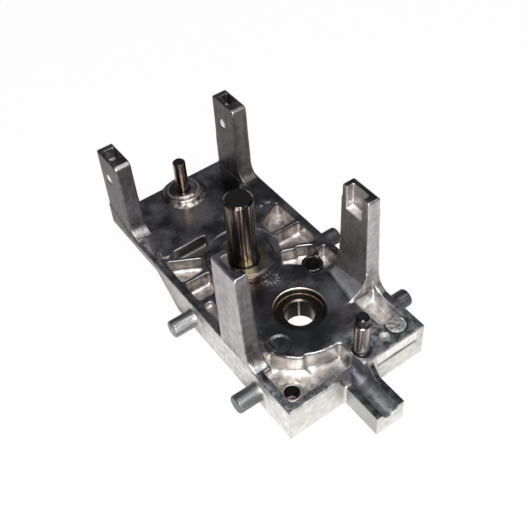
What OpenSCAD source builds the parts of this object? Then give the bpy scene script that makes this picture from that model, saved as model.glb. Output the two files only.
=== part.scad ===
// Bearing plate of a jigsaw: one die casting with a pressed-in bush and three pressed-in pins.
// The deck is the flat top of the plate. Heights are measured from the deck, +Y runs to the back,
// and every module is lifted so that the middle of the bearing bore is the origin.

/* [Plate] */
// Width of the plate
plate_w = 52.4; // [48:0.2:60]
// Distance from the bearing axis to the front face
front_y = 29.2; // [29:0.1:34]
// Distance from the bearing axis to the back edge
back_y = 75.3; // [74:0.1:82]
// Depth of the box-shaped front half below the deck
box_depth = 13.5; // [12:0.1:18]
// Thickness of the tail
tail_t = 3; // [2.5:0.1:5]
// Distance from the bearing axis to the end of the deep box
box_end_y = 34; // [30:0.5:36]
// Distance from the bearing axis to where the sides reach the thin tail
tail_start_y = 45; // [42:0.5:50]
// Width of the rim along both sides
rim_w = 2.8; // [2.2:0.1:4]
// Width of the rim along the front
front_rim_w = 2.7; // [2:0.1:4]

/* [Guide tongue] */
// Width of the tongue
tongue_w = 10.6; // [10:0.2:14]
// How far the tongue stands out of the front face
tongue_out = 14.4; // [8:0.2:20]
// Step from the deck down to the tongue
tongue_drop = 5; // [4:0.1:6]
// Radius of the half-round channel in the tongue
channel_r = 3; // [2:0.1:3.4]

/* [Bearing] */
// Outer diameter of the bush
bush_od = 16; // [15:0.1:18]
// Bore of the bush
bush_id = 10; // [8:0.1:12]
// Length of the bush
bush_len = 8.4; // [6:0.1:10]
// How deep the bush sits below the deck
bush_recess = 2; // [0.5:0.1:3]
// Chamfer on the outer edges of the bush and on its lower mouth
bush_chamfer = 0.4; // [0.2:0.1:0.8]
// Chamfer at the upper mouth of the bush
bush_mouth = 0.5; // [0.3:0.1:1.2]
// Chamfer at the mouth of the bearing seat
seat_chamfer = 0.6; // [0.2:0.1:1.2]

/* [Posts] */
// Height of the front posts above the deck
front_post_h = 37; // [25:0.5:45]
// Depth of a front post at its foot, front to back
front_post_d = 14.2; // [12:0.2:16]
// Thickness of a front post at its foot, side to side
front_post_w = 5.6; // [5:0.1:7]
// Height of the back posts above the deck
back_post_h = 29.9; // [22:0.5:38]
// Depth of a back post at its foot, front to back
back_post_d = 13.3; // [12:0.1:16]
// Thickness of a back post, side to side
back_post_w = 6.2; // [5:0.1:7]
// Radius of the fillet in front of each post
post_fillet_r = 5; // [3:0.5:5.5]
// Depth of the pocket in the top of a front post
front_socket_depth = 8.8; // [6:0.2:14]
// Depth of the pocket in the top of a back post
back_socket_depth = 4; // [2:0.5:6]
// Diameter of the cross holes through the back posts
cross_hole_d = 3.2; // [2.5:0.1:4]
// Height of the cross holes above the deck
cross_hole_z = 20.5; // [16:0.5:21]

/* [Trunnions] */
// Diameter of the four trunnions
trunnion_d = 6; // [5:0.1:7]
// How far the left trunnions stand out
trunnion_out_left = 8.8; // [5:0.2:12]
// How far the right trunnions stand out
trunnion_out_right = 6.8; // [5:0.2:12]
// Depth of the trunnion axes below the deck
trunnion_drop = 5.5; // [5:0.1:7]
// Place of the front trunnions, in front of the bearing axis
trunnion_front_y = 14; // [12:0.5:18]
// Place of the rear trunnions, behind the bearing axis
trunnion_back_y = 22; // [18:0.5:26]

/* [Pins] */
// Diameter of the gear pin
gear_pin_d = 9.8; // [8:0.1:11]
// Height of the gear pin above the deck
gear_pin_h = 27.3; // [20:0.1:32]
// Distance from the bearing axis back to the gear pin
gear_pin_y = 29; // [28:0.1:30]
// Diameter of the rear pin
rear_pin_d = 4.5; // [3.5:0.1:5]
// Height of the rear pin above the deck
rear_pin_h = 14.9; // [10:0.1:20]
// Distance from the bearing axis back to the rear pin
rear_pin_y = 68.6; // [67:0.1:69]
// Diameter of the stepped pin's body
step_pin_d = 5; // [4.5:0.1:5.4]
// Diameter of the stepped pin's neck
step_pin_neck_d = 4; // [3:0.1:4.2]
// Height of the stepped pin's shoulder above the deck
step_pin_shoulder = 12.5; // [8:0.1:14.5]
// Height of the stepped pin above the deck
step_pin_h = 15.8; // [15.2:0.1:20]

/* [Pockets] */
// Depth of the wide pocket beside the tongue
front_pocket_depth = 7; // [6.6:0.1:8]
// Depth of the pockets on the left
left_pocket_depth = 5.2; // [3:0.1:6]
// Depth of the pockets on the right
right_pocket_depth = 5.5; // [3:0.1:7]
// Depth of the shallow pocket in front of the right post
ramp_pocket_depth = 2.4; // [1.5:0.1:3]
// Thickness of the ribs between the pockets
rib_t = 1.3; // [1:0.1:2]
// Radius where pocket walls meet their floors
floor_fillet_r = 1.2; // [0.5:0.1:1.4]
// Radius of the upright corners of the pockets
corner_r = 1; // [0.4:0.1:1.2]

/* [Hidden] */
$fn = 64;

// Overlap that makes cuts run past a face
over = 1;
half_w = plate_w / 2;
inner_x = half_w - rim_w;
inner_front_y = -front_y + front_rim_w;
// Height of the deck above the middle of the bush
deck_z = bush_recess + bush_len / 2;
tongue_end_y = -front_y - tongue_out;
gear_pin_x = -1.2;
step_pin_x = 5;
step_pin_y = -front_y + 5.1;
// Right side of the gap in the front rim
gap_right_x = 1.6;
// The seats of the pressed pins end this far below the deck
seat_floor = 11;
// The boss with the screw hole, between the pockets on the right
screw_hole_x = 15.6;
screw_hole_y = 13.4;
// The blind hole in the floor of the wide pocket
blind_hole_x = -18.5;
blind_hole_y = -20;
// The pressed end of a pin is this much thicker, on the radius
press_extra = 0.25;
// The pin boss at the back edge
boss_r = 8.3;
boss_h = 2.6;
cross_hole_y = back_y - 5.4;
front_socket_floor = front_post_h - front_socket_depth;
front_post_y = -8;
back_post_y = back_y - back_post_d;
// Points of an arc, with angles in degrees
function arc(centre, r, from, to, steps) =
    [for (i = [0:steps])
        let (a = from + (to - from) * i / steps)
        centre + r * [cos(a), sin(a)]];
function unit(v) = v / norm(v);
function left_of(v) = [-v[1], v[0]];
// An outline that runs anticlockwise, drawn in by a distance
function drawn_in(outline, distance) =
    let (count = len(outline))
    [for (i = [0:count - 1])
        let (before = left_of(unit(outline[i] - outline[(i + count - 1) % count])),
             after = left_of(unit(outline[(i + 1) % count] - outline[i])))
        outline[i] + distance * (before + after) / (1 + before * after)];
// The same outline with each corner turned into a short arc
function rounded(outline, r, steps) =
    let (count = len(outline))
    [for (i = [0:count - 1])
        let (back = unit(outline[(i + count - 1) % count] - outline[i]),
             ahead = unit(outline[(i + 1) % count] - outline[i]),
             half = acos(max(-1, min(1, back * ahead))) / 2,
             reach = r / tan(half),
             centre = outline[i] + unit(back + ahead) * r / sin(half),
             first = outline[i] + back * reach - centre,
             turn = (180 - 2 * half) * sign(back[1] * ahead[0] - back[0] * ahead[1]))
        each [for (k = [0:steps])
            let (a = turn * k / steps)
            centre + [first[0] * cos(a) - first[1] * sin(a), first[0] * sin(a) + first[1] * cos(a)]]];

// The faces that join rings of points, each as long as the first, with a cap at both ends
function ring_faces(size, count) =
    concat([for (j = [0:count - 2]) for (i = [0:size - 1])
               [j * size + i, j * size + (i + 1) % size,
                (j + 1) * size + (i + 1) % size, (j + 1) * size + i]],
           [[for (i = [0:size - 1]) size - 1 - i]],
           [[for (i = [0:size - 1]) (count - 1) * size + i]]);

// A cast pocket: straight walls, rounded upright corners and a fillet that ends just above a flat floor
module pocket(outline, depth, fillet = floor_fillet_r, corner = corner_r) {
    corner_steps = 3;
    fillet_steps = 3;
    least_corner = 0.2;
    floor_edge = 0.05;
    levels = concat([[0, over]], [for (k = [0:fillet_steps])
        let (a = 90 * k / fillet_steps)
        [fillet * (1 - cos(a)), -depth + floor_edge + fillet * (1 - sin(a))]]);
    rings = [for (level = levels)
        [for (p = rounded(drawn_in(outline, level[0]), max(corner - level[0], least_corner), corner_steps))
            [p[0], p[1], level[1]]]];
    polyhedron(points = [for (ring = rings) each ring], faces = ring_faces(len(rings[0]), len(rings)));
    translate([0, 0, -depth]) linear_extrude(depth) polygon([for (p = rings[len(rings) - 1]) [p[0], p[1]]]);
}

// The plain body: deep box in front, sloping belly, thin tail
module body() {
    belly_w = 2 * inner_x + 1.8;
    belly_end_y = tail_start_y + 2;
    belly_end_depth = 6.8;
    belly_back_y = belly_end_y + 4;
    side_profile = [[-front_y, 0], [-front_y, -box_depth], [box_end_y, -box_depth],
                    [tail_start_y, -tail_t - 0.7], [back_y, -tail_t], [back_y, 0]];
    belly_profile = [[0, -tail_t / 2], [0, -box_depth], [box_end_y, -box_depth],
                     [belly_end_y, -belly_end_depth], [belly_back_y, -tail_t / 2]];
    across(plate_w) polygon(side_profile);
    across(belly_w) polygon(belly_profile);
    translate([0, rear_pin_y, -tail_t]) cylinder(r = boss_r, h = tail_t);
}

// An outline in Y and Z, drawn out across the middle plane
module across(w) {
    translate([-w / 2, 0, 0]) rotate([90, 0, 90]) linear_extrude(w) children();
}

// A straight concave fillet along X: fills the corner in front of an upright wall at y
module wall_fillet(x_from, x_to, y, r, depth) {
    difference() {
        translate([x_from, y - r, -depth]) cube([x_to - x_from, r + over, depth + r]);
        translate([x_from - over, y - r, r]) rotate([0, 90, 0])
            cylinder(r = r, h = x_to - x_from + 2 * over);
    }
}

// The fillet from the inner face of a front post on to the deck; it may widen towards the front.
// It ends just above the deck, so that it meets it along a clean line.
module inner_fillet(x, flare) {
    back_r = 5;
    steps = 8;
    foot_edge = 0.06;
    back = front_post_y + front_post_d;
    past = flare * over / front_post_d;
    rings = [for (end = [[front_post_y - over, back_r + flare + past], [back + over, back_r - past]])
        let (r = end[1], centre = [x - r, r + foot_edge])
        [for (p = concat([[x, 2 * r], [x - 2 * r, 2 * r], [x - 2 * r, foot_edge]],
                         arc(centre, r, -90, 0, steps)))
            [p[0], end[0], p[1]]]];
    difference() {
        translate([0, 0, -over]) linear_extrude(back_r + flare + over)
            polygon([[x + over, front_post_y], [x + over, back], [x - back_r, back],
                     [x - back_r - flare, front_post_y]]);
        polyhedron(points = [for (ring = rings) each ring], faces = ring_faces(len(rings[0]), len(rings)));
    }
}

// A front post, drawn on the right-hand side: drafted all round, with a pocket open at top and inside.
// The fillet in front of it starts at fillet_x and runs out to the side.
module front_post(flare, fillet_x) {
    foot = 7;
    draft_in = 0.85;
    draft_out = 0.1;
    draft_front = 1.7;
    draft_back = 0.5;
    out_x = half_w - 0.1;
    in_x = out_x - front_post_w;
    back = front_post_y + front_post_d;
    socket_front = front_post_y + 4.4;
    socket_back = back - 2.7;
    socket_wall = 2;
    ledge_rise = 0.4;
    nose = 0.5;
    difference() {
        union() {
            intersection() {
                translate([0, back + over, 0]) rotate([90, 0, 0]) linear_extrude(front_post_d + 2 * over)
                    polygon(concat([[in_x, -foot], [out_x, -foot], [out_x, 0]],
                                   arc([out_x - draft_out - nose, front_post_h - nose], nose, 0, 90, 3),
                                   [[in_x + draft_in, front_post_h], [in_x, 0]]));
                across(2 * plate_w)
                    polygon(concat([[front_post_y, -foot], [back, -foot], [back, 0]],
                                   arc([back - draft_back - nose, front_post_h - nose], nose, 0, 90, 3),
                                   arc([front_post_y + draft_front + nose, front_post_h - nose],
                                       nose, 90, 180, 3),
                                   [[front_post_y, 0]]));
            }
            wall_fillet(fillet_x, out_x, front_post_y, post_fillet_r, 3);
            inner_fillet(in_x, flare);
        }
        // Pocket in the top, with a ledge that falls towards its open side
        translate([0, socket_back, 0]) rotate([90, 0, 0]) linear_extrude(socket_back - socket_front)
            polygon([[in_x - over, front_socket_floor],
                     [out_x - socket_wall, front_socket_floor + ledge_rise],
                     [out_x - socket_wall, front_post_h + over], [in_x - over, front_post_h + over]]);
    }
}

// A back post, drawn on the right-hand side, with a closed pocket in its top
module back_post() {
    foot = tail_t;
    draft_in = 0.5;
    draft_front = 0.5;
    nose = 1.8;
    side_nose = 0.6;
    out_x = half_w - 0.4;
    in_x = out_x - back_post_w;
    gusset_h = 5.9;
    wall = 1.1;
    socket_front = back_post_y + 5;
    socket_back = back_y - 2.6;
    difference() {
        union() {
            intersection() {
                translate([0, back_y, 0]) rotate([90, 0, 0]) linear_extrude(back_post_d + over)
                    polygon(concat([[in_x, -foot], [out_x, -foot]],
                                   arc([out_x - side_nose, back_post_h - side_nose], side_nose, 0, 90, 2),
                                   [[in_x + draft_in, back_post_h], [in_x, 0]]));
                across(2 * plate_w)
                    polygon(concat([[back_post_y, -foot], [back_y, -foot]],
                                   arc([back_y - side_nose, back_post_h - side_nose], side_nose, 0, 90, 2),
                                   arc([back_post_y + draft_front + nose, back_post_h - nose],
                                       nose, 90, 180, 4),
                                   [[back_post_y, 0]]));
            }
            wall_fillet(in_x, out_x, back_post_y, post_fillet_r, tail_t / 2);
            // Thicker foot on the outside, up to a sloping line
            translate([out_x - over, 0, 0]) rotate([90, 0, 90]) linear_extrude(half_w - out_x + over)
                polygon([[back_post_y, -over], [back_y, -over], [back_y, gusset_h], [back_post_y, 0]]);
        }
        translate([in_x + wall, socket_front, back_post_h - back_socket_depth])
            cube([back_post_w - 2 * wall, socket_back - socket_front, back_socket_depth + over]);
    }
}

// A trunnion on the right-hand side, with a flared root and a chamfered end
module trunnion(out) {
    r = trunnion_d / 2;
    flare = 0.5;
    flare_l = 1.6;
    chamfer = 0.4;
    translate([half_w - over, 0, -trunnion_drop]) rotate([0, 90, 0])
        rotate_extrude() polygon([[0, 0], [r + flare, 0], [r + flare, over], [r, over + flare_l],
                                  [r, over + out - chamfer], [r - chamfer, over + out], [0, over + out]]);
}

// The tongue in front, with the ramp that comes down to it beside the stepped pin
module tongue() {
    end_bevel = 2;
    ramp_run = 3.8;
    ramp_start = 0.3;
    side_gap = 0.1;
    half = tongue_w / 2;
    root_y = inner_front_y + 2.2;
    difference() {
        translate([-half, tongue_end_y, -box_depth])
            cube([tongue_w, root_y - tongue_end_y, box_depth - tongue_drop]);
        // Lower right edge is bevelled
        translate([half, tongue_end_y - over, -box_depth]) rotate([-90, 0, 0])
            linear_extrude(tongue_out + over) polygon([[-end_bevel, over], [over, over], [over, -end_bevel]]);
    }
    translate([channel_r + side_gap, 0, 0]) rotate([90, 0, 90]) linear_extrude(half - channel_r - side_gap)
        polygon([[-front_y + over, -tongue_drop - over], [-front_y + over, -ramp_start],
                 [-front_y + ramp_start, -ramp_start], [-front_y - ramp_run, -tongue_drop],
                 [-front_y - ramp_run, -tongue_drop - over]]);
}

// The half-round channel along the tongue; it runs out in a cone under the gap in the rim
module channel() {
    run_out = 3.8;
    straight = tongue_out - 0.6;
    difference() {
        translate([0, tongue_end_y - over, -tongue_drop]) rotate([-90, 0, 0]) {
            cylinder(r = channel_r, h = straight + over);
            translate([0, 0, straight + over]) cylinder(r1 = channel_r, r2 = 0.6, h = run_out);
        }
        translate([-channel_r - over, -front_y - 0.3, -tongue_drop])
            cube([2 * (channel_r + over), run_out + over, channel_r + over]);
    }
}

// The boss round the screw hole and the short rib that joins it to the crooked one
module screw_boss() {
    boss_top = 0.8;
    rib_top = 0.2;
    boss_depth = right_pocket_depth + over;
    screw_boss_r = 3.7;
    translate([screw_hole_x, screw_hole_y, -boss_depth])
        cylinder(r = screw_boss_r, h = boss_depth - boss_top);
    translate([screw_hole_x + 3.9, screw_hole_y + 2.9, -boss_depth]) rotate([0, 0, 52])
        translate([-2, -0.8, 0]) cube([5, 1.6, boss_depth - rib_top]);
}

// The boss round the rear pin: a flat top, a groove and a sloping skirt
module rear_boss() {
    translate([0, rear_pin_y, 0]) rotate_extrude()
        polygon([[0, -over], [boss_r, -over], [boss_r, 0], [7.2, 0.7], [6.6, 1.9], [5.5, 2.1],
                 [5.2, 1.9], [4.7, boss_h], [0, boss_h]]);
}

// The wide pocket beside the tongue; its inner wall follows two arcs round the bearing
module front_pocket() {
    wall_r = 19.3;
    step_r = 18.1;
    post_clear = 8;
    pocket(concat([[-inner_x, inner_front_y], [gap_right_x, inner_front_y], [gap_right_x, -18.3]],
                  arc([0, 0], step_r, -93, -123, 3),
                  arc([0, 0], wall_r, -123.5, -157, 5),
                  [[-inner_x, -post_clear]]),
           front_pocket_depth, fillet = 2.2);
}

// The gap in the front rim above the tongue
module rim_gap() {
    half = tongue_w / 2;
    lean = 2;
    translate([0, inner_front_y + over, 0]) rotate([90, 0, 0]) linear_extrude(front_rim_w + 2 * over)
        polygon([[-half, -tongue_drop], [gap_right_x, -tongue_drop], [gap_right_x, over],
                 [-half - lean, over], [-half - lean, -lean]]);
}

// The pockets between the ribs on the left, from the tail to the front post
module left_pockets() {
    rib_slope = [10.1, -5.8];
    rib_near = [-inner_x, 43.9];
    rib_end = rib_near + rib_slope * 1.1;
    rib_off = left_of(unit(rib_slope)) * rib_t;
    back = tail_start_y + 1.1;
    mid_y = 32.5;
    pocket([rib_near + rib_slope * 0.24 + rib_off, rib_end + rib_off, [-7.6, 42], [-5.2, back],
            [-18.6, back]],
           left_pocket_depth - 0.7, fillet = 0.8, corner = 0.6);
    pocket([[-inner_x, mid_y], [-13.7, mid_y + 0.5], rib_end, rib_near], left_pocket_depth);
    pocket([[-inner_x, trunnion_back_y + 0.5], [-18, trunnion_back_y + 0.5], [-14.8, 26.5],
            [-13.5, mid_y - rib_t - 0.2], [-inner_x, mid_y - rib_t]], left_pocket_depth);
    pocket([[-inner_x, 9.5], [-20.4, 9.5], [-20.2, 20], [-inner_x, 20]], 1.6, fillet = 0.9);
}

// The pockets between the ribs on the right
module right_pockets() {
    rib_y = 31.1;
    crook = [[10, 23.5], [14.3, 21.7], [15.9, 22], [20.2, 19.5]];
    pocket([[12.7, rib_y + rib_t], [inner_x, rib_y + rib_t], [inner_x, 43.9], [12.9, 38.9]],
           right_pocket_depth + 0.8);
    pocket([crook[0] + [0.3, rib_t], crook[1] + [0.2, rib_t], crook[2] + [0.1, rib_t],
            crook[3] + [0.7, rib_t], [inner_x, 20.6], [inner_x, rib_y], [13.2, rib_y], [11.9, 27]],
           right_pocket_depth, corner = 0.7);
    pocket([crook[0], [7, 18.6], [9.4, 17], [12, 14.6], [11.6, 12.4], [12.8, 8.6], [inner_x, 8.6],
            [inner_x, 16.9], [20.8, 16.9], crook[3], crook[2], crook[1]],
           right_pocket_depth, fillet = 0.9, corner = 0.5);
}

// The shallow pocket in front of the right post, with sides that slope all round
module ramp_pocket() {
    back = front_post_y - 0.6;
    slope = 0.8;
    outline = [[15.2, -20.8], [17, -21.6], [inner_x, -21.6], [inner_x, back], [15.2, back]];
    rings = [for (z = [over, -ramp_pocket_depth])
        [for (p = drawn_in(outline, -slope * z)) [p[0], p[1], z]]];
    polyhedron(points = [for (ring = rings) each ring], faces = ring_faces(len(outline), len(rings)));
}

// Round marks that are sunk into the deck: relief discs, a plain dial, a bare disc and a dimple
module deck_marks() {
    relief = 0.4;
    disc_r = 3.7;
    translate([-13.4, -7.5, -relief]) cylinder(r = disc_r, h = relief + over);
    translate([gear_pin_x + 0.7, gear_pin_y + 1, -relief]) difference() {
        cylinder(r = 13.1, h = relief + over);
        translate([0, 0, -over]) cylinder(r = 9.8, h = relief + 3 * over);
    }
    dial();
    translate([19.5, -23.4, -0.4]) difference() {
        cylinder(r = 3.5, h = 0.4 + over);
        translate([0, 0, -over]) cylinder(r = 2.8, h = over + 0.2);
    }
    translate([13.5, -25, 1.2]) sphere(r = 2);
    // Narrow groove in the left rim
    translate([-half_w + 1.1, 37, -0.3]) cube([0.5, 18, over]);
}

// A plain dial with twelve ticks
module dial() {
    ticks = 12;
    sink = 0.25;
    translate([0.3, 15.8, -sink]) {
        difference() {
            cylinder(r = 3.7, h = sink + over);
            translate([0, 0, -over]) cylinder(r = 3.3, h = 3 * over);
        }
        for (i = [0:ticks - 1]) rotate([0, 0, i * 360 / ticks])
            translate([1.5, -0.2, 0]) cube([1.2, 0.4, over]);
    }
}

// Upright holes: the bearing seat, the pin seats, the blind hole and the screw hole
module upright_holes() {
    seat_r = bush_od / 2;
    blind_r = 2.4;
    blind_floor = 12;
    screw_hole_r = 2.6;
    relief = 0.6;
    translate([0, 0, -box_depth - over]) cylinder(r = seat_r, h = box_depth + 2 * over);
    translate([0, 0, -seat_chamfer])
        cylinder(r1 = seat_r, r2 = seat_r + seat_chamfer + over, h = seat_chamfer + over);
    translate([gear_pin_x, gear_pin_y, -seat_floor])
        cylinder(r = gear_pin_d / 2 + press_extra, h = seat_floor + over);
    translate([0, rear_pin_y, -tail_t - over])
        cylinder(r = rear_pin_d / 2 + press_extra, h = tail_t + boss_h + 2 * over);
    translate([step_pin_x, step_pin_y, -seat_floor])
        cylinder(r = step_pin_d / 2 + press_extra, h = seat_floor + over);
    translate([step_pin_x, step_pin_y, -relief]) cylinder(r = step_pin_d / 2 + 0.7, h = relief + over);
    translate([blind_hole_x, blind_hole_y, -blind_floor]) cylinder(r = blind_r, h = blind_floor);
    translate([screw_hole_x, screw_hole_y, -box_depth - over])
        cylinder(r = screw_hole_r, h = box_depth + over);
}

module bearing_plate() {
    ring_r = 3.2;
    ring_h = 0.5;
    color("silver") translate([0, 0, deck_z]) difference() {
        union() {
            difference() {
                body();
                front_pocket();
                rim_gap();
                left_pockets();
                right_pockets();
                ramp_pocket();
                deck_marks();
                // Shallow band in the front face, right of the tongue
                translate([7, -front_y - over, -5.8]) cube([inner_x - 7, over + 0.6, 5]);
            }
            translate([blind_hole_x, blind_hole_y, -front_pocket_depth - over])
                cylinder(r = ring_r, h = over + ring_h);
            tongue();
            rear_boss();
            screw_boss();
            for (side = [0, 1]) mirror([side, 0, 0]) {
                front_post(side == 1 ? 0 : 3.2, side == 1 ? inner_x - 2.9 : inner_x);
                back_post();
                for (y = [-trunnion_front_y, trunnion_back_y]) translate([0, y, 0])
                    trunnion(side == 1 ? trunnion_out_left : trunnion_out_right);
            }
            for (side = [-1, 1]) translate([side * 21.3, 47, -over]) cylinder(r = 1.8, h = over + 0.4);
            translate([18, 46, -over]) cylinder(r = 0.7, h = over + 0.4);
        }
        upright_holes();
        channel();
        translate([0, cross_hole_y, cross_hole_z]) rotate([0, 90, 0])
            cylinder(d = cross_hole_d, h = plate_w + 2 * over, center = true);
    }
}

module bearing_bush() {
    in_r = bush_id / 2;
    out_r = bush_od / 2;
    half = bush_len / 2;
    c = bush_chamfer;
    color("goldenrod") rotate_extrude()
        polygon([[in_r, -half + c], [in_r + c, -half], [out_r - c, -half], [out_r, -half + c],
                 [out_r, half - c], [out_r - c, half], [in_r + bush_mouth, half],
                 [in_r, half - bush_mouth]]);
}

// A plain pin with a chamfered top; it is a little thicker where it is pressed in, below its collar
module pin(d, bottom, collar, top, chamfer) {
    r = d / 2;
    rotate_extrude()
        polygon([[0, bottom], [r + press_extra, bottom], [r + press_extra, collar], [r, collar],
                 [r, top - chamfer], [r - chamfer, top], [0, top]]);
}

module gear_pin() {
    color("dimgray") translate([gear_pin_x, gear_pin_y, deck_z])
        pin(gear_pin_d, -seat_floor, 0, gear_pin_h, 0.7);
}

module rear_pin() {
    color("dimgray") translate([0, rear_pin_y, deck_z]) pin(rear_pin_d, -tail_t, boss_h, rear_pin_h, 0.4);
}

module stepped_pin() {
    r = step_pin_d / 2;
    neck_r = step_pin_neck_d / 2;
    end_chamfer = 0.4;
    shoulder_chamfer = 0.3;
    color("dimgray") translate([step_pin_x, step_pin_y, deck_z]) rotate_extrude()
        polygon([[0, -seat_floor], [r + press_extra, -seat_floor], [r + press_extra, 0], [r, 0],
                 [r, step_pin_shoulder - shoulder_chamfer],
                 [r - shoulder_chamfer, step_pin_shoulder], [neck_r, step_pin_shoulder],
                 [neck_r, step_pin_h - end_chamfer], [neck_r - end_chamfer, step_pin_h], [0, step_pin_h]]);
}

bearing_plate();
bearing_bush();
gear_pin();
rear_pin();
stepped_pin();
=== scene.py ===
# %% [markdown]
# # Bearing plate of a jigsaw
# The real object is one die casting of aluminium with a pressed-in bush and three pressed-in pins.
# Its shape comes from the packed model, which is loaded as a fixed frame. Blender adds what the
# photograph shows on top of it: a casting's rounded edges, the skin of the metal and the light.

# %% Load the frame
from math import cos, radians, sin

import bmesh
import bpy
from mathutils import Matrix, Vector


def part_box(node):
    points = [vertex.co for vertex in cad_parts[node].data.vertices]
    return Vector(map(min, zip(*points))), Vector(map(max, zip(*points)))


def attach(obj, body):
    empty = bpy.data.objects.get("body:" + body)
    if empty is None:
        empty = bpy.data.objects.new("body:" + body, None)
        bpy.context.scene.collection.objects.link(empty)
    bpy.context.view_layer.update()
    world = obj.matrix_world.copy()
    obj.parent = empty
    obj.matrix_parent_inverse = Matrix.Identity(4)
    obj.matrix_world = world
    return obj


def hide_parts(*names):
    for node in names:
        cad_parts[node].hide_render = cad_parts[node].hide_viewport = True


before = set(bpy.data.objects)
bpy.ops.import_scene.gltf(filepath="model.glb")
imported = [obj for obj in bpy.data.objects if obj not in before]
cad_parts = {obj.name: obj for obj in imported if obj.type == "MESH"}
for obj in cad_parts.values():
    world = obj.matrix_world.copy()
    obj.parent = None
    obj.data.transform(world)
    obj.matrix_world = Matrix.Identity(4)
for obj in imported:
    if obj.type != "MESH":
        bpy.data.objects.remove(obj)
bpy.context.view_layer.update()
MM = 0.001
DECK_Z = 6.2 * MM
scene = bpy.context.scene
scene.view_settings.view_transform = "Standard"
print("nodes:", sorted(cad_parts))

# %% [markdown]
# ## Camera
# The place and the direction of the camera were found by matching about sixty edges, circles and
# corners of the photograph to the plate. A matrix holds them exactly, where turn angles would
# round them.

# %% Camera
EYE = Vector((-0.101286, -0.139616, 0.217596))
LOOK = Vector((0.362478, 0.566911, -0.739743)).normalized()
LENS_MM = 58.716
SENSOR_MM = 36.0
ROLL_DEG = -4.547
NEAREST = 0.01


def camera_matrix(eye, look, roll_deg):
    """A camera looks along its own -Z; roll turns the picture about that axis."""
    level = look.cross(Vector((0, 0, 1))).normalized()
    upright = level.cross(look)
    turned = Matrix((level, upright, -look)).transposed()
    return Matrix.Translation(eye) @ (turned @ Matrix.Rotation(radians(roll_deg), 3, "Z")).to_4x4()


camera = bpy.data.objects.new("camera", bpy.data.cameras.new("camera"))
camera.data.lens = LENS_MM
camera.data.sensor_width = SENSOR_MM
camera.data.clip_start = NEAREST
camera.matrix_world = camera_matrix(EYE, LOOK, ROLL_DEG)
scene.collection.objects.link(camera)
scene.camera = camera
print("camera at", [round(v, 4) for v in EYE])

# %% [markdown]
# ## Writing shaders as sums
# A finish is a web of nodes, and most of them only add or multiply. A small class wraps a socket
# and turns each operator into the node that does it, so a mask reads like the formula that it is.
# Colours go through Mix nodes and vectors through Vector Math, because a Math node greys a colour.

# %% Wires


class Wire:
    """An output socket that takes part in plain arithmetic."""

    def __init__(self, finish, socket):
        self.finish, self.socket = finish, socket

    def joined(self, other, operation, swapped=False):
        """The node for one operator, chosen by what the sockets carry."""
        pair = (other, self) if swapped else (self, other)
        kinds = {w.socket.type for w in pair if isinstance(w, Wire)}
        if "RGBA" in kinds:
            return self.finish.mixed(1.0, *pair, blend=operation)
        if "VECTOR" in kinds:
            pair = [w if isinstance(w, (Wire, tuple)) else (w, w, w) for w in pair]
            return self.finish.node("VectorMath", {"operation": operation}, dict(enumerate(pair)))
        return self.finish.node("Math", {"operation": operation}, dict(enumerate(pair)))

    def __add__(self, other):
        return self.joined(other, "ADD")

    def __radd__(self, other):
        return self.joined(other, "ADD", True)

    def __sub__(self, other):
        return self.joined(other, "SUBTRACT")

    def __rsub__(self, other):
        return self.joined(other, "SUBTRACT", True)

    def __mul__(self, other):
        return self.joined(other, "MULTIPLY")

    def __rmul__(self, other):
        return self.joined(other, "MULTIPLY", True)


print("operators:", [name for name in vars(Wire) if name.startswith("__r")])

# %% Finishes


def grey(value):
    """A number, or three of them, as a colour."""
    return (*value, 1.0) if isinstance(value, tuple) else (value, value, value, 1.0)


class Finish:
    """The nodes of a material or of the world, under construction."""

    def __init__(self, block):
        self.block = block
        block.use_nodes = True
        self.tree = block.node_tree
        self.tree.nodes.clear()

    def node(self, kind, settings=None, inputs=None, output=0):
        """Adds a node: its settings first, then the values or links of its sockets."""
        made = self.tree.nodes.new("ShaderNode" + kind)
        for key, value in (settings or {}).items():
            setattr(made, key, value)
        for key, value in (inputs or {}).items():
            if isinstance(value, Wire):
                self.tree.links.new(value.socket, made.inputs[key])
            else:
                made.inputs[key].default_value = value
        return Wire(self, made.outputs[output]) if made.outputs else None

    def mixed(self, share, a, b, blend="MIX"):
        """Two colours through a Mix node. Its colour sockets are numbers 6 and 7, its result 2."""
        a, b = (w if isinstance(w, Wire) else grey(w) for w in (a, b))
        settings = {"data_type": "RGBA", "blend_type": blend}
        return self.node("Mix", settings, {0: share, 6: a, 7: b}, 2)

    def report(self, step):
        """Prints how far the finish has come."""
        print(f"{self.block.name}, {step}: {len(self.tree.nodes)} nodes")


print("white as a colour:", grey(1.0))

# %% [markdown]
# ## Floor
# The part stands on pale paper that runs out of the picture. The camera sees the paper as nearly
# white, with a faint soft shadow of the part, while the metal mirrors the paper as it is really
# lit. So the paper has two sides to it: it glows for the camera and is plain matt paper for all
# else. It is one flat square, because nothing on it needs a shape.

# %% Floor
PAPER_COLOUR = 0.86
PAPER_GLOW = 0.97
PAPER_SIZE = 3.0


def paper_finish():
    """Pale matt paper, which the camera alone sees as white."""
    paper = Finish(bpy.data.materials.new("paper"))
    seen = paper.node("LightPath", output="Is Camera Ray")
    matt = paper.node("BsdfDiffuse", None, {"Color": grey(PAPER_COLOUR)})
    glow = paper.node("Emission", None, {"Color": grey(1.0)})
    both = paper.node("MixShader", None, {0: seen * PAPER_GLOW, 1: matt, 2: glow})
    paper.node("OutputMaterial", None, {"Surface": both})
    return paper.block


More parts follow.
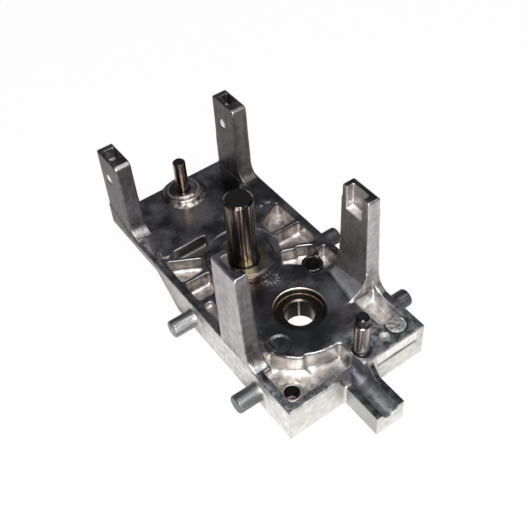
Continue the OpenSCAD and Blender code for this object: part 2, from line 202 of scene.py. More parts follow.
floor_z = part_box("bearing_plate")[0].z
half = PAPER_SIZE / 2
corners = [(x * half, y * half, floor_z) for x, y in ((-1, -1), (1, -1), (1, 1), (-1, 1))]
floor_mesh = bpy.data.meshes.new("paper")
floor_mesh.from_pydata(corners, [], [(0, 1, 2, 3)])
floor_mesh.materials.append(paper_finish())
floor = bpy.data.objects.new("paper", floor_mesh)
scene.collection.objects.link(floor)
print("paper at height", round(floor_z, 4))

# %% [markdown]
# ## Background and lamps
# Bare metal shows what stands round it more than what lights it. The room is dim, so flat faces on
# top turn almost black. A small panel hangs low in front on the left and lights the paper there,
# so the faces that look forward and to the left turn pale. A large weak panel softens the rest.

# %% Background
ROOM_COLOUR = (0.078, 0.079, 0.084)


def dim_room():
    """White to the camera, dim and even for everything else."""
    room = Finish(bpy.data.worlds.new("room"))
    seen = room.node("LightPath", output="Is Camera Ray")
    shade = room.node("Background", None, {"Color": room.mixed(seen, ROOM_COLOUR, 1.0)})
    room.node("OutputWorld", None, {"Surface": shade})
    return room.block


scene.world = dim_room()
print("room:", scene.world.name, ROOM_COLOUR)

# %% Lamps
# Name of a panel: its place, the point that it faces, its side in metres and its power in watts.
PANELS = {
    "panel_front": ((-0.11, -0.17, 0.17), (-0.01, -0.02, 0.0), 0.13, 0.62),
    "panel_overhead": ((0.0, -0.16, 0.60), (0.0, 0.015, 0.01), 0.40, 2.6),
}


def soft_panel(name, place, aim, side, watts):
    """A square panel of light that faces a point and stays out of the camera's sight."""
    lamp = bpy.data.lights.new(name, "AREA")
    lamp.shape = "SQUARE"
    lamp.size = side
    lamp.energy = watts
    panel = bpy.data.objects.new(name, lamp)
    panel.location = place
    panel.rotation_euler = (Vector(aim) - Vector(place)).to_track_quat("-Z", "Y").to_euler()
    panel.visible_camera = False
    scene.collection.objects.link(panel)
    print(name, "gives", watts, "W")


for name, numbers in PANELS.items():
    soft_panel(name, *numbers)

# %% [markdown]
# ## The casting
# A die casting has no sharp edges: each corner is rounded by the mould and by wear. A bevel would
# need clean faces, and this mesh has many small ones where ribs, pockets and posts meet. So a copy
# of the CAD mesh is rebuilt from tiny cubes and then relaxed, which rounds every edge by a third
# of a millimetre and leaves the flats where they are. Last, it is thinned to a fair size.

# %% Rounded copy
VOXEL = 0.36 * MM
WELD = 1e-6
RELAX_ROUNDS = 3
RELAX_SHARE = 0.5
MOST_TRIANGLES = 190000


def welded_copy(node, name):
    """A copy of a CAD node's mesh with its double points joined, as a new object."""
    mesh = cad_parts[node].data.copy()
    work = bmesh.new()
    work.from_mesh(mesh)
    bmesh.ops.remove_doubles(work, verts=work.verts, dist=WELD)
    work.to_mesh(mesh)
    work.free()
    piece = bpy.data.objects.new(name, mesh)
    scene.collection.objects.link(piece)
    return piece


def apply_modifiers(piece):
    """Turns what the modifiers make into the piece's own mesh."""
    shapes = bpy.context.evaluated_depsgraph_get()
    final = bpy.data.meshes.new_from_object(piece.evaluated_get(shapes))
    piece.modifiers.clear()
    piece.data = final


def round_edges(piece):
    """Cubes, then a relaxed surface, which is thinned where it has too many triangles."""
    cubes = piece.modifiers.new("cubes", "REMESH")
    cubes.mode = "VOXEL"
    cubes.voxel_size = VOXEL
    relax = piece.modifiers.new("relax", "SMOOTH")
    relax.factor, relax.iterations = RELAX_SHARE, RELAX_ROUNDS
    apply_modifiers(piece)
    triangles = len(piece.data.polygons) * 2
    if triangles > MOST_TRIANGLES:
        thin = piece.modifiers.new("thin", "DECIMATE")
        thin.ratio = MOST_TRIANGLES / triangles
        thin.use_collapse_triangulate = True
        apply_modifiers(piece)
    return triangles


# %% Casting
casting = welded_copy("bearing_plate", "casting")
before = round_edges(casting)
casting.data.name = casting.name
faces = casting.data.polygons
faces.foreach_set("use_smooth", [True] * len(faces))
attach(casting, "root")
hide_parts("bearing_plate")
print("casting had", before, "triangles, has", len(faces), "faces")

# %% [markdown]
# ## Tools for the metals
# Every metal here is varied by masks, which are numbers from 0 to 1, and by noise. A metal finish
# knows how to make both. A survey tells where a point lies and what it faces. A coat holds a
# colour, and each new colour is laid over it where a mask says, as a painter would do it.

# %% Metal


class Metal(Finish):
    """A bare metal, with the masks and noises that vary it."""

    def __init__(self, name):
        super().__init__(bpy.data.materials.new(name))

    def maths(self, operation, *values):
        """One Math node for what has no operator in Python."""
        return self.node("Math", {"operation": operation}, dict(enumerate(values)))

    def step(self, value, low, high):
        """0 below low, 1 above high and a soft curve between."""
        return self.node("MapRange", {"interpolation_type": "SMOOTHSTEP"},
                         {0: value, 1: low, 2: high, 3: 0.0, 4: 1.0})

    def band(self, value, low, high, soft):
        """1 between low and high, with soft ends."""
        begun = self.step(value, low - soft, low + soft)
        return begun * (1.0 - self.step(value, high - soft, high + soft))

    def noise(self, place, scale, detail=2.0, rough=0.5):
        """Mottle from 0 to 1; scale is in blotches for each millimetre."""
        inputs = {"Vector": place, "Scale": scale, "Detail": detail, "Roughness": rough}
        return self.node("TexNoise", None, inputs)

    def axes(self, vector):
        """The three numbers of a vector."""
        split = self.node("SeparateXYZ", None, {0: vector})
        return [Wire(self, out) for out in split.socket.node.outputs]

    def surface(self, inputs):
        """Ends the finish in a Principled shader of pure metal."""
        shader = self.node("BsdfPrincipled", None, {**inputs, "Metallic": 1.0})
        self.node("OutputMaterial", None, {"Surface": shader})
        return self.block


print("a metal can:", [name for name in vars(Metal) if not name.startswith("_")])

# %% Survey and coat
MM_PER_M = 1000.0
HIGHLIT_SIDE_DEG = 57.0


class Survey:
    """Where a point lies, in millimetres from the bearing axis and the deck, and what it faces."""

    def __init__(self, metal):
        self.metal = metal
        self.here = (metal.node("TexCoord", output="Object") - (0.0, 0.0, DECK_Z)) * MM_PER_M
        self.x, self.y, self.z = metal.axes(self.here)
        _, self.rearward, self.up = metal.axes(metal.node("NewGeometry", output="Normal"))

    def around(self, centre):
        """Distance in plan from a point."""
        across, along = self.x - centre[0], self.y - centre[1]
        return self.metal.maths("SQRT", across * across + along * along)

    def spot(self, centre, near, far):
        """1 within near of a point, 0 beyond far."""
        return 1.0 - self.metal.step(self.around(centre), near, far)

    def off_highlit_side(self):
        """Angle about the bearing axis, from the side of the bore where the highlights are painted.
        """
        turn = radians(HIGHLIT_SIDE_DEG)
        along = self.x * cos(turn) + self.y * sin(turn)
        across = self.y * cos(turn) - self.x * sin(turn)
        return self.metal.maths("ABSOLUTE", self.metal.maths("ARCTAN2", across, along))


class Coat:
    """A colour that others are laid over, each where its mask says."""

    def __init__(self, metal, colour):
        self.metal, self.colour = metal, colour

    def lay(self, share, colour):
        """Lays one more colour over what is there."""
        self.colour = self.metal.mixed(share, self.colour, colour)


# The side of the bore and its seat that carries the painted highlights.
print("the worn side of the bore lies at", HIGHLIT_SIDE_DEG, "degrees")

# %% [markdown]
# ## Cast aluminium: the places
# The metal has two skins. Flats at the height of the deck and above are smooth and mirror the dim
# room. Everything the mould left is rough and mottled, and it catches the panels. Two materials
# would meet in a hard line, so one finish holds both. It asks where a point lies and what it
# faces. Places are in millimetres from the bearing axis, and heights count from the deck.

# %% Shares for the large parts
# Each pair says where a share begins and where it is full.
FACES_UP = (0.93, 0.985)
FACES_FORWARD = (0.4, 0.7)
SLOPES = (0.3, 0.7)
PAST_SIDE = (25.7, 26.1)
PAST_FRONT = (28.8, 29.1)
ON_TONGUE = (29.3, 30.3)
ON_LEFT_STUB = (26.6, 27.4)
ON_RIGHT_STUB = (26.3, 26.8)
ABOVE_RIM = (-1.1, -0.9)
BELOW_DECK = (0.1, 0.8)
IN_POCKET = (0.7, 1.3)
ON_POST = (1.5, 3.0)
TONGUE_TOP_Z = (-5.6, -5.3)
SOCKET_LEDGE_Z = (27.4, 29.3)
NEAR_FRONT = (4.0, 10.0)
ON_FRONT_RIM = (15.0, 18.0)


def find_parts(at):
    """Shares for the large parts: flats, sides, stubs, tongue, posts and pockets."""
    metal, x, z = at.metal, at.x, at.z
    at.left, at.ahead, at.below, at.front = 0.0 - x, 0.0 - at.y, 0.0 - z, 0.0 - at.rearward
    at.forward = metal.step(at.front, *FACES_FORWARD)
    at.wall = 1.0 - metal.step(at.up, *SLOPES)
    at.ledge = metal.band(z, *SOCKET_LEDGE_Z, 0.2)
    at.smooth = metal.step(at.up, *FACES_UP) * metal.step(z, *ABOVE_RIM) * (1.0 - at.ledge)
    past_left, past_front = metal.step(at.left, *PAST_SIDE), metal.step(at.ahead, *PAST_FRONT)
    at.outside = metal.maths("MAXIMUM", past_left, past_front)
    at.stub_left, at.stub_right = metal.step(at.left, *ON_LEFT_STUB), metal.step(x, *ON_RIGHT_STUB)
    at.stub = metal.maths("MAXIMUM", at.stub_left, at.stub_right)
    at.tongue = metal.step(at.ahead, *ON_TONGUE)
    at.post = metal.step(z, *ON_POST)
    at.flank = at.outside * metal.step(at.below, *BELOW_DECK) * (1.0 - at.stub)
    within = (1.0 - at.outside) * (1.0 - metal.step(x, *PAST_SIDE))
    at.inside = within * metal.step(at.below, *IN_POCKET)
    at.near_front = metal.step(at.ahead, *NEAR_FRONT)
    at.rim = at.smooth * metal.step(at.ahead, *ON_FRONT_RIM)


metal = Metal("cast_aluminium")
at = Survey(metal)
find_parts(at)
metal.report("shares for the large parts")

# %% Shares for single features
GEAR_PIN = (-1.2, 29.0)
REAR_PIN = (0.0, 68.6)
DISC = (-13.4, -7.5)
SCREW = (15.6, 13.4)
SHALLOW = (17.0, -14.0)
DIMPLE = (13.5, -25.0)
POCKET_IN_SHADE = (-9.0, 45.0)
PUDDLE = (-4.2, 23.5)
CROSS_HOLE_Y, CROSS_HOLE_Z = 69.9, 20.5
CHANNEL_Z = -5.0
IN_CHANNEL = (20.0, 22.0)


def find_features(at):
    """Shares for the channel, the post's foot, the sunk discs, the rear boss and the holes."""
    metal, x, y, z = at.metal, at.x, at.y, at.z
    channel_r = metal.maths("SQRT", x * x + (z - CHANNEL_Z) * (z - CHANNEL_Z))
    at.groove = (1.0 - metal.step(channel_r, 3.0, 3.2)) * metal.step(at.ahead, *IN_CHANNEL)
    at.run_out = metal.band(x, -3.4, 3.4, 0.3) * metal.band(y, -33.0, -24.0, 0.6)
    foot_x = metal.step(x, 8.5, 15.0) * (1.0 - metal.step(x, 19.2, 19.5))
    at.inner_foot = foot_x * metal.band(y, -9.5, 9.5, 0.5) * metal.band(z, 0.3, 12.0, 0.3)
    at.screw = at.spot(SCREW, 4.2, 5.0)
    discs = metal.maths("MAXIMUM", at.spot(GEAR_PIN, 12.6, 13.4), at.spot(DISC, 4.6, 5.2))
    at.relief = metal.maths("MAXIMUM", discs * metal.band(z, -0.5, 1.6, 0.2), at.screw)
    at.boss = at.spot(REAR_PIN, 9.0, 10.0) * metal.step(z, 0.02, 0.1)
    at.lip = metal.band(at.around(REAR_PIN), 5.25, 5.9, 0.15) * metal.step(z, 1.6, 1.9)
    at.shallow = at.spot(SHALLOW, 5.0, 8.0) * (1.0 - at.smooth) * metal.band(z, -3.5, -0.1, 0.1)
    at.dimple = at.spot(DIMPLE, 2.0, 2.3) * (1.0 - at.smooth)
    at.dark_pocket = at.spot(POCKET_IN_SHADE, 6.5, 9.0)
    at.puddle = at.spot(PUDDLE, 2.5, 5.0) * at.smooth
    hole_y, hole_z = y - CROSS_HOLE_Y, z - CROSS_HOLE_Z
    cross_r = metal.maths("SQRT", hole_y * hole_y + hole_z * hole_z)
    on_post = metal.step(metal.maths("ABSOLUTE", x), 18.0, 19.0)
    at.cross = (1.0 - metal.step(cross_r, 1.62, 1.75)) * on_post


find_features(at)
metal.report("shares for single features")

# %% [markdown]
# ## Cast aluminium: the mottle
# No casting is even. Molten metal leaves streaks where it ran up the posts, soft blotches where it
# cooled, and specks all over. Each is a noise of its own size; a noise that is squeezed along one
# axis turns into streaks along it. Blends of them choose between a dark and a light tone.

# %% Mottle


def mottle(at):
    """Noises from specks to clouds, and the blends of them that the skins use."""
    metal, here = at.metal, at.here
    at.grain = metal.noise(here, 2.4, 4.0, 0.65)
    at.patch = metal.noise(here + (40.0, 0.0, 0.0), 0.42, 4.0, 0.6)
    at.cloud = metal.noise(here, 0.12, 3.0, 0.55)
    at.drag = metal.noise(here * (1.0, 1.0, 0.06), 0.75, 3.0, 0.55)
    at.along_x = metal.noise(here * (0.05, 1.0, 1.0), 0.55, 3.0, 0.5)
    at.scuff = metal.noise(here * (0.5, 1.0, 1.0) + (0.0, 90.0, 0.0), 0.9, 5.0, 0.7)
    at.tone = metal.step(at.patch * 0.55 + at.drag * 0.45 + (at.grain - 0.5) * 0.3, 0.34, 0.64)
    at.blotch = metal.step(at.patch * 0.7 + at.scuff * 0.3, 0.36, 0.64)
    at.streaks = metal.step(at.drag * 0.35 + at.patch * 0.65, 0.34, 0.66)


mottle(at)
metal.report("the mottle")

# %% [markdown]
# ## Cast aluminium: the skin that the mould left
# Pairs of tones below are dark first, light second. The sides of the box are the palest, the posts
# are a warmer grey with streaks, and the trunnions are oiled where they sit in rubber. Painted
# shade darkens the forward faces of the box, the fronts of the left posts, the tongue's top, the
# right trunnions and the metal towards the back, and the walls of the pockets are painted lighter
# towards the front, as painted light.

# %% Posts, sides and tongue
BARE_CAST = ((0.21, 0.195, 0.20), (0.58, 0.56, 0.555))
POST_CAST = ((0.37, 0.34, 0.345), (0.56, 0.53, 0.53))
POST_PAINTED_SHADE = ((0.14, 0.13, 0.135), (0.25, 0.235, 0.24))
SIDE_CAST = ((0.58, 0.57, 0.55), (0.84, 0.82, 0.80))
NOSE_PAINTED_SHADE = ((0.50, 0.50, 0.48), (0.66, 0.65, 0.62))
TONGUE_TOP_PAINTED_SHADE = ((0.03, 0.03, 0.035), (0.16, 0.16, 0.165))
TONGUE_SIDE = (0.30, 0.30, 0.30)
SPECKS = (0.24, 0.24, 0.23)


def outer_skin(at):
    """The skin of posts, sides and tongue, with painted shade on forward faces, the left posts'
    fronts and the tongue's top.
    """
    metal = at.metal
    skin = Coat(metal, metal.mixed(at.tone, *BARE_CAST))
    skin.lay(at.post, metal.mixed(at.streaks, *POST_CAST))
    # Painted shade: the front faces of the left posts get a darker copy of the post tone.
    shaded_left_fronts = at.post * at.forward * metal.step(at.left, 8.0, 14.0)
    skin.lay(shaded_left_fronts, metal.mixed(at.streaks, *POST_PAINTED_SHADE))
    side = Coat(metal, metal.mixed(at.blotch, *SIDE_CAST))
    # Painted shade: faces of the sides that look forward, and the tongue, get a darker tone than
    # the side faces.
    shaded_nose = metal.maths("MAXIMUM", at.forward, at.tongue * 0.8)
    side.lay(shaded_nose, metal.mixed(at.blotch, *NOSE_PAINTED_SHADE))
    side.lay(metal.step(at.grain, 0.56, 0.66) * 0.6, SPECKS)
    side.lay(at.tongue * (1.0 - at.forward) * 0.75, TONGUE_SIDE)
    skin.lay(at.flank, side.colour)
    # Painted shade: the top of the tongue is painted almost black, a painted dark reflection of the
    # room.
    top_tone = metal.step(at.grain * 0.5 + at.patch * 0.5, 0.42, 0.58)
    top = at.tongue * (1.0 - at.wall) * metal.step(at.z, *TONGUE_TOP_Z)
    skin.lay(top, metal.mixed(top_tone, *TONGUE_TOP_PAINTED_SHADE))
    return skin


skin = outer_skin(at)
metal.report("posts, sides and tongue")

# %% Trunnions
LEFT_STUB = ((0.14, 0.14, 0.145), (0.50, 0.50, 0.50))
RIGHT_STUB_PAINTED_SHADE = ((0.03, 0.03, 0.035), (0.22, 0.22, 0.23))
OILED_STUB = (0.10, 0.105, 0.105)


def stub_skin(at, skin):
    """The trunnions: painted shade makes the right ones dark, and the front left one is oiled."""
    metal = at.metal
    tone = metal.step(at.along_x * 0.6 + at.grain * 0.4, 0.38, 0.60)
    skin.lay(at.stub_left, metal.mixed(tone, *LEFT_STUB))
    skin.lay(at.stub_left * metal.step(at.ahead, 2.0, 6.0) * 0.6, OILED_STUB)
    # Painted shade on the right trunnions.
    skin.lay(at.stub_right, metal.mixed(tone, *RIGHT_STUB_PAINTED_SHADE))


stub_skin(at, skin)
metal.report("trunnions")

# %% Pockets and the foot of the right post
WALL_BEHIND = ((0.24, 0.205, 0.19), (0.56, 0.51, 0.48))
WALL_AHEAD_PAINTED_LIGHT = ((0.66, 0.64, 0.60), (0.95, 0.93, 0.89))
WALL_RIGHT_PAINTED_LIGHT = (0.86, 0.81, 0.79)
WALL_PAINTED_SHADE = (0.09, 0.085, 0.08)
FLOOR_CAST = ((0.30, 0.265, 0.25), (0.74, 0.71, 0.68))
FLOOR_PAINTED_SHADE_AND_PATCH = (0.16, 0.15, 0.155)
FOOT_PAINTED_SHEEN = ((0.70, 0.71, 0.76), (0.92, 0.93, 0.97))
FOOT_FRONT_PAINTED_SHADE = (0.20, 0.19, 0.195)
DARK_FLOOR = (-4.0, -22.5)


def pocket_skin(at, skin):
    """Walls and floors of the pockets with painted light and shade, and the fillet at the foot of
    the right post with a painted sheen.
    """
    metal = at.metal
    # Painted light: pocket walls are lighter towards the front and on the right.
    behind, ahead = metal.mixed(at.tone, *WALL_BEHIND), metal.mixed(at.tone, *WALL_AHEAD_PAINTED_LIGHT)
    walls = Coat(metal, metal.mixed(at.near_front, behind, ahead))
    right = metal.step(at.x, 2.0, 6.0) * (1.0 - at.near_front)
    walls.lay(right * at.tone * 0.6, WALL_RIGHT_PAINTED_LIGHT)
    # Painted shade on the walls and floor of the deep pocket at the back left; the floor of the
    # front pocket gets a dark patch too.
    walls.lay(at.dark_pocket * 0.85, WALL_PAINTED_SHADE)
    floors = Coat(metal, metal.mixed(at.blotch, *FLOOR_CAST))
    dark_floor = at.spot(DARK_FLOOR, 4.0, 8.5) * 0.8
    floors.lay(metal.maths("MAXIMUM", at.dark_pocket, dark_floor) * 0.85, FLOOR_PAINTED_SHADE_AND_PATCH)
    skin.lay(at.inside, metal.mixed(at.wall, floors.colour, walls.colour))
    # Painted sheen on the fillet at the foot of the right post, and painted shade where it faces
    # forward.
    skin.lay(at.inner_foot, metal.mixed(at.tone, *FOOT_PAINTED_SHEEN))
    skin.lay(at.inner_foot * metal.step(at.front, 0.1, 0.35) * 0.85, FOOT_FRONT_PAINTED_SHADE)


pocket_skin(at, skin)
metal.report("pockets and the foot")

# %% Back and rear boss
BACK_PAINTED_SHADE = ((0.06, 0.055, 0.055), (0.13, 0.12, 0.115))
BOSS_CAST = ((0.06, 0.06, 0.065), (0.16, 0.155, 0.155))
BOSS_SLOPE_PAINTED_HIGHLIGHT = (0.62, 0.55, 0.47)
TOWARDS_BACK = (2.0, 55.0)


def back_skin(at, skin):
    """Painted shade that darkens the metal towards the back, less on the forward faces of the left
    posts and more on the right, and the boss round the rear pin.
    """
    metal = at.metal
    # Painted shade towards the back.
    behind = at.y + at.x * 0.3 + (at.cloud - 0.5) * 30.0
    back = metal.step(behind, *TOWARDS_BACK) * (1.0 - at.inside)
    lit_left_fronts = at.forward * metal.step(at.left, 12.0, 16.0) * 0.62
    share = 0.72 + metal.step(at.x, 15.0, 20.0) * 0.14 - lit_left_fronts
    skin.lay(back * share, metal.mixed(at.tone, *BACK_PAINTED_SHADE))
    skin.lay(at.boss, metal.mixed(at.tone, *BOSS_CAST))
    # Painted highlight on the forward side of the boss's slope.
    slope = at.boss * metal.step(at.front, 0.08, 0.35) * metal.step(at.drag, 0.35, 0.6)
    skin.lay(slope * 0.8, BOSS_SLOPE_PAINTED_HIGHLIGHT)


back_skin(at, skin)
metal.report("back and rear boss")

# %% Channel and shallow pocket
CHANNEL_CAST = ((0.13, 0.14, 0.15), (0.50, 0.51, 0.53))
RUN_OUT_PAINTED_SHADE = (0.13, 0.13, 0.145)
SHALLOW_CAST = ((0.62, 0.60, 0.57), (0.98, 0.97, 0.94))


def front_skin(at, skin):
    """The channel of the tongue, its end with painted shade, and the shallow pocket before the
    right post.
    """
    metal = at.metal
    skin.lay(at.groove * 0.8, metal.mixed(at.tone, *CHANNEL_CAST))
    # Painted shade over the end of the channel, where the front panel would shine.
    skin.lay(at.run_out * 0.85, RUN_OUT_PAINTED_SHADE)
    skin.lay(at.shallow * 0.5, metal.mixed(at.blotch, *SHALLOW_CAST))


front_skin(at, skin)
metal.report("channel and shallow pocket")

# %% [markdown]
# ## Cast aluminium: the smooth flats
# The deck has been rubbed by the parts that turn over it. It is grey with broad clouds, and a few
# patches are painted darker or brighter, as painted shade and painted reflections: near the
# bearing, behind the left post and round the rear boss.

# %% Deck
DECK_TONES = ((0.17, 0.17, 0.18), (0.72, 0.71, 0.74))
RIM_TONES = ((0.15, 0.16, 0.17), (0.84, 0.86, 0.89))
SCREW_PAINTED_SHADE = (0.05, 0.05, 0.055)
# Patches of painted reflection and painted shade. Place of a patch, where it is full, where it
# ends, its share and its colour.
DECK_PAINTED_SHEEN_AND_SHADE = [
    ((-2.0, -4.0), 8.0, 15.0, 0.8, (0.16, 0.18, 0.185)),
    ((-10.0, 9.0), 5.0, 9.0, 0.7, (0.13, 0.125, 0.13)),
    ((19.0, 56.0), 7.0, 14.0, 0.7, (0.12, 0.125, 0.13)),
    ((9.5, -3.0), 2.0, 7.0, 0.7, (0.80, 0.83, 0.90)),
    ((-3.0, 58.5), 3.0, 10.0, 0.7, (1.0, 0.93, 0.90)),
]


def deck_skin(at):
    """The smooth flats, with their clouds, patches of painted shade and painted reflection, painted
    shade round the screw hole and a rubbed front rim.
    """
    metal = at.metal
    clouds = metal.step(at.cloud * 0.75 + at.scuff * 0.25, 0.38, 0.64)
    deck = Coat(metal, metal.mixed(clouds, *DECK_TONES))
    for centre, near, far, share, colour in DECK_PAINTED_SHEEN_AND_SHADE:
        deck.lay(at.spot(centre, near, far) * share, colour)
    rim_tone = metal.step(at.grain * 0.4 + at.patch * 0.6, 0.40, 0.60)
    deck.lay(at.rim, metal.mixed(rim_tone, *RIM_TONES))
    # Painted shade round the screw hole.
    deck.lay(at.screw * 0.9, SCREW_PAINTED_SHADE)
    return deck.colour


colour = Coat(metal, metal.mixed(at.smooth, skin.colour, deck_skin(at)))
metal.report("the deck")

# %% [markdown]
# ## Cast aluminium: seats, stains and wear
# Machined seats get a painted highlight on one side and are dark elsewhere, and the lip of the rear
# boss gets a painted highlight too. Oil has crept out round the gear pin and has turned olive, with
# a reddish stain before it. Edges are rubbed bright, while the outline of the outer sides and
# trunnions is painted dark as painted shade. Hollows outside the pockets are darkened, and concave
# corners inside the pockets get a painted highlight. Pointiness tells how far a point stands out or
# lies back, so no edge has to be marked by hand.

# %% Seats and blind hole
BEARING = (0.0, 0.0)
BLIND_HOLE = (-18.5, -20.0)
LIP_PAINTED_HIGHLIGHT = (0.98, 0.90, 0.82)
SEAT_DARK = (0.07, 0.06, 0.055)
SEAT_PAINTED_HIGHLIGHT = (0.95, 0.82, 0.66)
BLIND_HOLE_PAINTED_SHADE = (0.10, 0.095, 0.09)
BLIND_RING = (0.40, 0.32, 0.33)


def line_seats(at, colour):
    """Painted highlights on the lip of the rear boss and on one side of the bush's seat, the dark
    mouth of the seat, and painted shade in the blind hole inside its ring.
    """
    metal = at.metal
    # Painted highlight round the lip of the rear boss.
    colour.lay(at.lip, LIP_PAINTED_HIGHLIGHT)
    seat_r = at.around(BEARING)
    mouth = metal.step(at.z, -2.2, -2.0) * metal.band(seat_r, 7.0, 8.75, 0.06)
    colour.lay(mouth, SEAT_DARK)
    # Painted highlight on the side of the seat that lines up with the lamps.
    highlit = 1.0 - metal.step(at.off_highlit_side(), 0.9, 1.7)
    colour.lay(highlit * metal.band(seat_r, 8.45, 8.75, 0.08), SEAT_PAINTED_HIGHLIGHT)
    # Painted shade inside the blind hole.
    colour.lay(at.spot(BLIND_HOLE, 2.5, 2.7), BLIND_HOLE_PAINTED_SHADE)
    ring = metal.band(at.around(BLIND_HOLE), 2.7, 3.2, 0.15)
    colour.lay(ring * at.inside, BLIND_RING)


line_seats(at, colour)
metal.report("seats and the blind hole")

# %% Stains
RUST = (-4.5, 18.5)
OLIVE = (0.42, 0.40, 0.22)
OIL = (0.86, 0.84, 0.58)
REDDISH = (0.72, 0.43, 0.31)


def stain(at, colour):
    """Old oil round the gear pin and a reddish stain before it, with ragged ends."""
    metal = at.metal
    oil_end = metal.step(at.around(GEAR_PIN) + at.patch * 3.0, 8.0, 10.5)
    colour.lay((1.0 - oil_end) * at.smooth * 0.75, OLIVE)
    colour.lay(at.puddle * 0.6, OIL)
    rust_end = metal.step(at.around(RUST) + at.patch * 5.0, 5.0, 7.5)
    rust = (1.0 - rust_end) * metal.step(at.z, -2.0, -1.0)
    colour.lay(rust * metal.step(at.grain, 0.35, 0.6) * 0.75, REDDISH)


stain(at, colour)
metal.report("stains")

# %% Wear and dirt
RUBBED = (0.90, 0.89, 0.87)
OUTLINE_PAINTED_SHADE = (0.02, 0.02, 0.022)
SUNK_PAINTED_SHADE = (0.05, 0.05, 0.05)
HOLLOW_DARK = (0.05, 0.045, 0.04)
POCKET_CORNER_PAINTED_HIGHLIGHT = (0.98, 0.96, 0.93)
LEDGE_PAINTED_HIGHLIGHT = (0.95, 0.93, 0.90)
DRILLED = (0.98, 0.97, 0.95)


def wear(at, colour):
    """Rubbed edges, painted shade on outlines, sunk rings and holes, darkened hollows, painted
    highlights in pocket corners and on the ledges, and the bright cross holes.
    """
    metal = at.metal
    stands_out = metal.node("NewGeometry", output="Pointiness")
    edge = metal.step(stands_out, 0.53, 0.60)
    hollow = 1.0 - metal.step(stands_out, 0.40, 0.48)
    rubs = metal.step(at.scuff * 0.5 + at.patch * 0.5, 0.40, 0.55)
    outline = metal.maths("MAXIMUM", at.outside * (1.0 - at.post), at.stub)
    bright = edge * (0.25 + rubs * 0.55) * (1.0 - outline) * (1.0 - at.relief * 0.85)
    colour.lay(bright, RUBBED)
    # Painted shade along the outline of the outer sides and trunnions.
    colour.lay(edge * outline * (0.60 + rubs * 0.40), OUTLINE_PAINTED_SHADE)
    # Painted shade on the walls of the sunk rings and the screw hole.
    colour.lay(at.relief * (1.0 - at.smooth) * 0.85, SUNK_PAINTED_SHADE)
    # Hollows outside the pockets are darkened.
    colour.lay(hollow * (1.0 - at.inside) * 0.6, HOLLOW_DARK)
    # Painted highlight along concave corners inside the pockets.
    colour.lay(hollow * at.inside * (1.0 - at.dark_pocket * 0.8) * 0.7, POCKET_CORNER_PAINTED_HIGHLIGHT)
    # Painted highlight on the ledges in the sockets of the posts.
    colour.lay(at.ledge * (1.0 - at.wall) * 0.8, LEDGE_PAINTED_HIGHLIGHT)
    colour.lay(at.cross, DRILLED)


wear(at, colour)
metal.report("wear and dirt")

# %% [markdown]
# ## Cast aluminium: marks
# A small dial behind the bearing has twelve strokes in a thin ring. The round pad in the front
# corner is bare metal inside two rings. Both are too fine for the rounded mesh, which is made of
# small cubes, so they are drawn by distance and angle.

# %% Marks
DIAL = (0.3, 15.8)
PAD = (19.5, -23.4)
STROKES = 12.0
MARK_LIGHT = (0.85, 0.84, 0.80)
MARK_DARK = (0.04, 0.04, 0.045)
PAD_TONES = ((0.22, 0.22, 0.22), (0.95, 0.95, 0.93))
DIMPLE_TONE = (0.50, 0.49, 0.47)


def dial_ticks(at):
    """Plain strokes inside a thin ring."""
    metal, radius = at.metal, at.around(DIAL)
    angle = metal.maths("ARCTAN2", at.y - DIAL[1], at.x - DIAL[0])
    wave = metal.maths("COSINE", angle * STROKES)
    strokes = metal.step(wave, -0.1, 0.5) * metal.band(radius, 1.5, 2.9, 0.2)
    return metal.maths("MAXIMUM", strokes, metal.band(radius, 3.3, 3.65, 0.12) * 0.3)


def mark(at, colour):
    """The dial, the bare pad inside its rings and the dimple."""
    metal, pad_r = at.metal, at.around(PAD)
    raised = metal.step(at.z, -1.2, -1.0)
    at.pad = (1.0 - metal.step(pad_r, 3.1, 3.4)) * raised
    colour.lay(at.pad, metal.mixed(metal.step(at.grain, 0.4, 0.6), *PAD_TONES))
    colour.lay(at.dimple, DIMPLE_TONE)
    ticks = dial_ticks(at) * at.smooth * metal.step(at.grain, 0.3, 0.5)
    ring = metal.band(pad_r, 2.75, 3.15, 0.12) * raised * metal.step(at.patch, 0.4, 0.55)
    at.light = metal.maths("MAXIMUM", ticks, ring)
    colour.lay(at.light, MARK_LIGHT)
    colour.lay(metal.band(pad_r, 3.3, 3.8, 0.15) * raised * 0.9, MARK_DARK)


mark(at, colour)
metal.report("marks")

# %% [markdown]
# ## Cast aluminium: the whole finish
# The skins, stains and marks are laid in the order in which they came about. Roughness starts at
# that of a casting, falls on the smooth flats and rises where something was cast or worn rough.
# A fine bump gives the mould's grain; it is weaker on the flats.

# %% Cast aluminium
CAST_ROUGHNESS = 0.42
BUMP_STRENGTH = 0.6
BUMP_DEPTH = 0.16 * MM


def cast_roughness(at):
    """How rough each point is: the casting's own value, more or less in places."""
    rough = CAST_ROUGHNESS + (at.cloud - 0.5) * 0.2 + (at.grain - 0.5) * 0.25 - at.smooth * 0.22
    for share, more in ((at.rim, 0.12), (at.light, 0.25), (at.cross, 0.3), (at.stub, 0.1),
                        (at.run_out, 0.2), (at.pad, 0.15), (at.puddle, 0.2), (at.shallow, 0.15),
                        (at.lip, 0.1), (at.dimple, 0.3)):
        rough = rough + share * more
    return rough


height = (at.grain * 0.5 + at.drag * 0.2 + at.patch * 0.7) * (1.0 - at.smooth * 0.75)
bump = metal.node("Bump", None,
                  {"Strength": BUMP_STRENGTH, "Distance": BUMP_DEPTH, "Height": height})
casting.data.materials.clear()
casting.data.materials.append(metal.surface({"Base Color": colour.colour, "Normal": bump,
                                             "Roughness": cast_roughness(at)}))
metal.report("everything on " + casting.name)

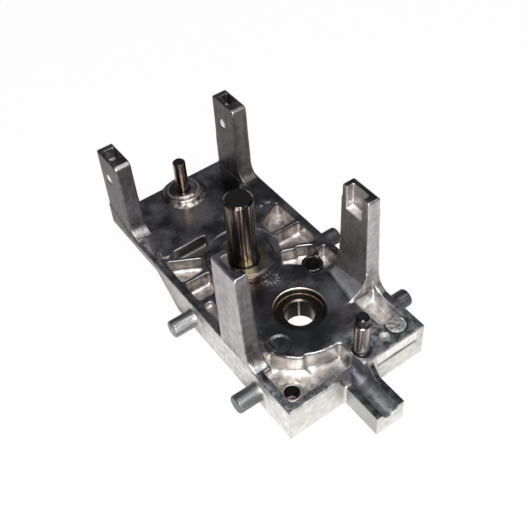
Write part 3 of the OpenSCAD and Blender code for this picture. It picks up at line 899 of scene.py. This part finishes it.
# %% [markdown]
# ## Bush
# The bush is turned from dark oiled bronze. Its flat top is nearly black, while the chamfers get a
# painted golden sheen that is brightest on one side. The slope of the surface tells the two apart.
# Painted highlights run as light strips down the bore; they are drawn by the angle about the axis.
# The CAD shape is right as it is, so the node stays and only gets a material.

# %% Bush
BRONZE = ((0.04, 0.036, 0.032), (0.11, 0.095, 0.075))
BORE_DARK = (0.035, 0.033, 0.028)
BORE_PAINTED_HIGHLIGHT = (0.90, 0.86, 0.80)
CHAMFER_PAINTED_SHEEN = ((0.16, 0.13, 0.10), (0.98, 0.84, 0.64))
TURNING_DEPTH = 0.03 * MM


def turned_bronze():
    """Dark bronze with a painted sheen on the chamfers, fine turning rings and painted highlight
    strips in the bore.
    """
    metal = Metal("turned_bronze")
    at = Survey(metal)
    radius, off = at.around(BEARING), at.off_highlit_side()
    spots = metal.noise(at.here, 1.2, 3.0)
    chamfer = metal.band(at.up, 0.35, 0.92, 0.05)
    bore = (1.0 - metal.step(radius, 5.1, 5.3)) * (1.0 - chamfer)
    low = metal.band(off, 0.95, 1.75, 0.2) * metal.step(0.0 - at.z, 2.5, 6.0)
    strips = metal.maths("MAXIMUM", 1.0 - metal.step(off, 0.03, 0.08), low * 0.6)
    highlit = (1.0 - metal.step(off, 0.7, 1.6)) * metal.step(radius, 6.2, 6.6)
    colour = Coat(metal, metal.mixed(spots, *BRONZE))
    colour.lay(bore, BORE_DARK)
    # Painted sheen on the chamfers, golden on the highlit side.
    colour.lay(chamfer, metal.mixed(highlit, *CHAMFER_PAINTED_SHEEN))
    # Painted highlights down the bore.
    colour.lay(bore * strips, BORE_PAINTED_HIGHLIGHT)
    rings = metal.maths("SINE", radius * 26.0 + at.z * 18.0)
    bump = metal.node("Bump", None, {"Strength": 0.3, "Distance": TURNING_DEPTH, "Height": rings})
    return metal.surface({"Base Color": colour.colour, "Roughness": 0.2 + spots * 0.12,
                          "Normal": bump})


def dress(node, material):
    """Gives a CAD node that stays as it is its finish."""
    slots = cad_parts[node].data.materials
    slots.clear()
    slots.append(material)
    print(node, "is finished in", material.name)


dress("bearing_bush", turned_bronze())

# %% [markdown]
# ## Pins
# The pins are ground steel that has been hardened, so they are dark and warm. Grinding and
# handling leave streaks along them, drawn by noise that is stretched along the pin. The neck of
# the stepped pin is blackened.

# %% Pins
STEPPED_PIN = (5.0, -24.1)
# Name of a pin: its place, its dark tone, its light tone and the tone of its flat top.
PIN_LOOKS = {
    "gear_pin": (GEAR_PIN, (0.035, 0.028, 0.025), (0.46, 0.38, 0.32), 0.14),
    "rear_pin": (REAR_PIN, (0.06, 0.045, 0.04), (0.60, 0.46, 0.34), 0.15),
    "stepped_pin": (STEPPED_PIN, (0.27, 0.235, 0.235), (0.52, 0.46, 0.45), 0.15),
}
NECK_PIN = "stepped_pin"
NECK_Z = 12.5
NECK_BLACK = (0.035, 0.032, 0.032)


def ground_steel(pin, place, dark, light, top):
    """Hardened steel with streaks along the pin."""
    metal = Metal(pin + "_steel")
    at = Survey(metal)
    here = at.here - (*place, 0.0)
    streak = metal.noise(here * (1.0, 1.0, 0.03), 1.1, 4.0, 0.6)
    fine = metal.noise(here * (1.0, 1.0, 0.05), 7.0, 2.0)
    colour = Coat(metal, metal.mixed(metal.step(streak, 0.46, 0.64), dark, light))
    if pin == NECK_PIN:
        colour.lay(metal.step(at.z, NECK_Z - 0.1, NECK_Z + 0.1) * 0.95, NECK_BLACK)
    colour.lay(metal.step(at.up, 0.9, 0.98), top)
    return metal.surface({"Base Color": colour.colour, "Roughness": 0.16 + fine * 0.16})


for pin, look in PIN_LOOKS.items():
    dress(pin, ground_steel(pin, *look))

# %% [markdown]
# ## The end
